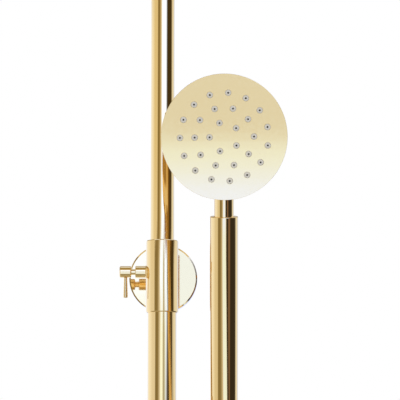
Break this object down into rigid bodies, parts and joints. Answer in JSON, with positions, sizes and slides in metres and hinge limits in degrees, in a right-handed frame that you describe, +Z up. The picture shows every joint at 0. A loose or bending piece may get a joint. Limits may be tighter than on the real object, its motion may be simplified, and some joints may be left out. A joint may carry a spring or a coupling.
{
  "type": "rainfall shower column",
  "caption": "Wall-hung shower column: telescopic riser with overhead rain head, sliding hand shower on a tilting holder, and a thermostatic bar mixer.",
  "frame": {"origin": "centre of the upper wall plate's back face, on the finished wall", "axes": "+X to the user's right, +Y into the wall, +Z up along the column"},
  "size_m": [0.272, 0.56, 1.308],
  "materials": {
    "polished_gold": "mirror-polished gold plating",
    "raw_brass": "machined, unplated",
    "steel": "satin",
    "pale_silicone": "matt moulded silicone",
    "white_nylon": "moulded",
    "black_rubber": "matt"
  },
  "bodies": {
    "root": {"lower_tube": "polished_gold", "clamp_collar": "polished_gold", "collar_bush": "white_nylon", "clamp_boss": "polished_gold", "wall_arm": "polished_gold", "wall_flange": "polished_gold", "wall_plate": "steel", "wall_screw_left": "steel", "wall_screw_right": "steel", "arm_grub_screw": "steel", "mixer_body": "polished_gold", "hot_union": "polished_gold", "cold_union": "polished_gold", "hot_nut": "polished_gold", "cold_nut": "polished_gold", "hot_gasket": "black_rubber", "cold_gasket": "black_rubber", "hot_escutcheon": "polished_gold", "cold_escutcheon": "polished_gold", "thermostat_cartridge": "raw_brass", "diverter_cartridge": "raw_brass", "column_nut": "polished_gold", "column_gasket": "black_rubber", "hose_outlet": "raw_brass"},
    "riser_carrier": {"riser_piston": "raw_brass", "riser_seal_upper": "black_rubber", "riser_seal_lower": "black_rubber"},
    "riser": {"riser_tube": "polished_gold", "head_ball_joint": "polished_gold"},
    "ball_ring": {"head_ball_seat": "white_nylon"},
    "rain_head": {"head_swivel_nut": "polished_gold", "head_washer": "black_rubber", "head_strainer": "steel", "rain_shell": "polished_gold", "rain_nozzle_mat": "pale_silicone", "rain_faceplate": "polished_gold"},
    "clamp_brake": {"clamp_pad": "white_nylon"},
    "clamp_handle": {"clamp_knob": "polished_gold", "clamp_lever": "polished_gold"},
    "slider_sleeve": {"slider_liner": "white_nylon"},
    "slider": {"slider_body": "polished_gold", "holder_pivot": "polished_gold", "holder_washer": "white_nylon"},
    "slider_brake": {"slider_pad": "white_nylon"},
    "slider_handle": {"slider_knob": "polished_gold", "slider_lever": "polished_gold"},
    "holder": {"holder_cup": "polished_gold"},
    "hand_tail": {"hand_tail_cone": "polished_gold"},
    "hand_shower": {"hand_shell": "polished_gold", "hand_nozzle_mat": "pale_silicone", "hand_faceplate": "polished_gold", "hand_handle": "polished_gold", "hand_inlet": "raw_brass", "hand_restrictor": "white_nylon", "hand_neck_seal": "black_rubber"},
    "temperature": {"temperature_handle": "polished_gold"},
    "stop_button": {"temperature_button": "black_rubber"},
    "diverter": {"diverter_handle": "polished_gold"}
  },
  "joints": [
    {"name": "riser_slide", "type": "slide", "parent": "root", "child": "riser_carrier", "axis": [0, 0, 1], "range_m": [-0.15, 0.15]},
    {"name": "riser_swivel", "type": "hinge", "parent": "riser_carrier", "child": "riser", "pos_m": [0, -0.06, 0], "axis": [0, 0, 1], "range_deg": [-70, 70]},
    {"name": "rain_pitch", "type": "hinge", "parent": "riser", "child": "ball_ring", "pos_m": [0, -0.46, 0.44], "axis": [1, 0, 0], "range_deg": [-12, 12]},
    {"name": "rain_roll", "type": "hinge", "parent": "ball_ring", "child": "rain_head", "pos_m": [0, -0.46, 0.44], "axis": [0, 1, 0], "range_deg": [-12, 12]},
    {"name": "clamp_press", "type": "slide", "parent": "root", "child": "clamp_brake", "axis": [-1, 0, 0], "range_m": [0, 0.0016]},
    {"name": "clamp_turn", "type": "hinge", "parent": "clamp_brake", "child": "clamp_handle", "pos_m": [-0.0304, -0.06, 0], "axis": [-1, 0, 0], "range_deg": [0, 540]},
    {"name": "slider_slide", "type": "slide", "parent": "root", "child": "slider_sleeve", "axis": [0, 0, 1], "range_m": [-0.45, 0.07]},
    {"name": "slider_swivel", "type": "hinge", "parent": "slider_sleeve", "child": "slider", "pos_m": [0, -0.06, -0.1265], "axis": [0, 0, 1], "range_deg": [-100, 30]},
    {"name": "slider_lock_press", "type": "slide", "parent": "slider", "child": "slider_brake", "axis": [-1, 0, 0], "range_m": [0, 0.0016]},
    {"name": "slider_lock_turn", "type": "hinge", "parent": "slider_brake", "child": "slider_handle", "pos_m": [-0.0304, -0.06, -0.1265], "axis": [-1, 0, 0], "range_deg": [0, 540]},
    {"name": "holder_tilt", "type": "hinge", "parent": "slider", "child": "holder", "pos_m": [0.03, -0.06, -0.1265], "axis": [1, 0, 0], "range_deg": [-6, 45]},
    {"name": "hand_lift", "type": "slide", "parent": "holder", "child": "hand_tail", "axis": [0, -0.225, 0.9744], "range_m": [0, 0.08]},
    {"name": "hand_spin", "type": "hinge", "parent": "hand_tail", "child": "hand_shower", "pos_m": [0.0509, -0.0778, -0.1265], "axis": [0, -0.225, 0.9744], "range_deg": [-170, 170]},
    {"name": "temperature_turn", "type": "hinge", "parent": "root", "child": "temperature", "pos_m": [0.116, -0.06, -0.742], "axis": [1, 0, 0], "range_deg": [-120, 120]},
    {"name": "stop_press", "type": "slide", "parent": "temperature", "child": "stop_button", "axis": [0, 0, -1], "range_m": [0, 0.0025], "stiffness_N_per_m": 600, "springref_m": -0.001},
    {"name": "diverter_turn", "type": "hinge", "parent": "root", "child": "diverter", "pos_m": [-0.116, -0.06, -0.742], "axis": [1, 0, 0], "range_deg": [-60, 60]}
  ],
  "couplings": [
    {"joint": "clamp_press", "follows": "clamp_turn", "m_per_rad": 0.00015915},
    {"joint": "slider_lock_press", "follows": "slider_lock_turn", "m_per_rad": 0.00015915}
  ]
}
